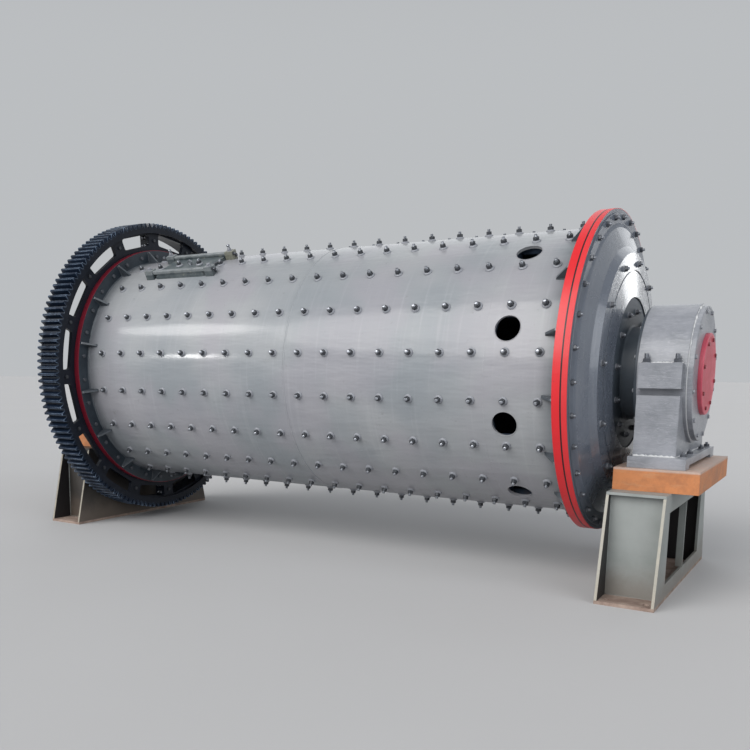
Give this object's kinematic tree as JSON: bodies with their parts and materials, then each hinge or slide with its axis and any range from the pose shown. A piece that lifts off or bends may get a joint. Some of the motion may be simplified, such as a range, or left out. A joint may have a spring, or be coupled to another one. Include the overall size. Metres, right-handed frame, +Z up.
{
  "type": "ball mill",
  "caption": "Horizontal batch grinding drum with flanged ends, girth gear, side manhole and peripheral discharge ports, turning in two pedestal bearings on welded stands.",
  "frame": {"origin": "on the floor, midway between the two bearings, below the mill axis", "axes": "+X along the mill axis from the geared feed end to the discharge end, +Z up, -Y towards the viewer"},
  "size_m": [6.3472, 3, 3.095],
  "materials": {
    "shell_paint": "satin silver-grey paint",
    "red_paint": "bright red paint",
    "gear_paint": "dark blue-black paint",
    "head_paint": "semi-gloss dark grey paint",
    "trunnion_paint": "dark grey paint over machined steel",
    "housing_paint": "brushed grey paint on casting",
    "cap_paint": "crimson paint",
    "primer": "orange primer",
    "stand_paint": "grey-green paint",
    "base_paint": "worn brown primer",
    "lining_steel": "worn lining"
  },
  "bodies": {
    "supports": {"discharge_bearing_cap": "housing_paint", "discharge_bearing_housing": "housing_paint", "discharge_bedplate": "primer", "discharge_end_cap": "cap_paint", "discharge_inner_cover": "trunnion_paint", "discharge_outer_cover": "housing_paint", "discharge_stand_base": "base_paint", "discharge_stand_ends": "stand_paint", "discharge_stand_inner_side": "stand_paint", "discharge_stand_outer_side": "stand_paint", "discharge_stand_top": "stand_paint", "feed_bearing_cap": "housing_paint", "feed_bearing_housing": "housing_paint", "feed_bedplate": "primer", "feed_end_cap": "cap_paint", "feed_inner_cover": "trunnion_paint", "feed_outer_cover": "housing_paint", "feed_stand_base": "base_paint", "feed_stand_ends": "stand_paint", "feed_stand_inner_side": "stand_paint", "feed_stand_outer_side": "stand_paint", "feed_stand_top": "stand_paint"},
    "drum": {"discharge_flange_gussets": "shell_paint", "discharge_head": "head_paint", "discharge_lining": "lining_steel", "discharge_shell_course": "shell_paint", "discharge_shell_flange": "red_paint", "discharge_trunnion": "trunnion_paint", "even_port_plates": "shell_paint", "feed_flange_gussets": "shell_paint", "feed_head": "head_paint", "feed_lining": "lining_steel", "feed_shell_course": "shell_paint", "feed_shell_flange": "red_paint", "feed_trunnion": "trunnion_paint", "girth_gear_front": "gear_paint", "girth_gear_rear": "gear_paint", "manhole_clamp_bars": "shell_paint", "manhole_clamp_blocks": "shell_paint", "manhole_cover": "shell_paint", "manhole_frame": "shell_paint", "odd_port_plates": "shell_paint"}
  },
  "joints": [
    {"name": "drum_spin", "type": "hinge", "parent": "supports", "child": "drum", "pos_m": [0, 0, 1.595], "axis": [1, 0, 0], "continuous": true}
  ]
}
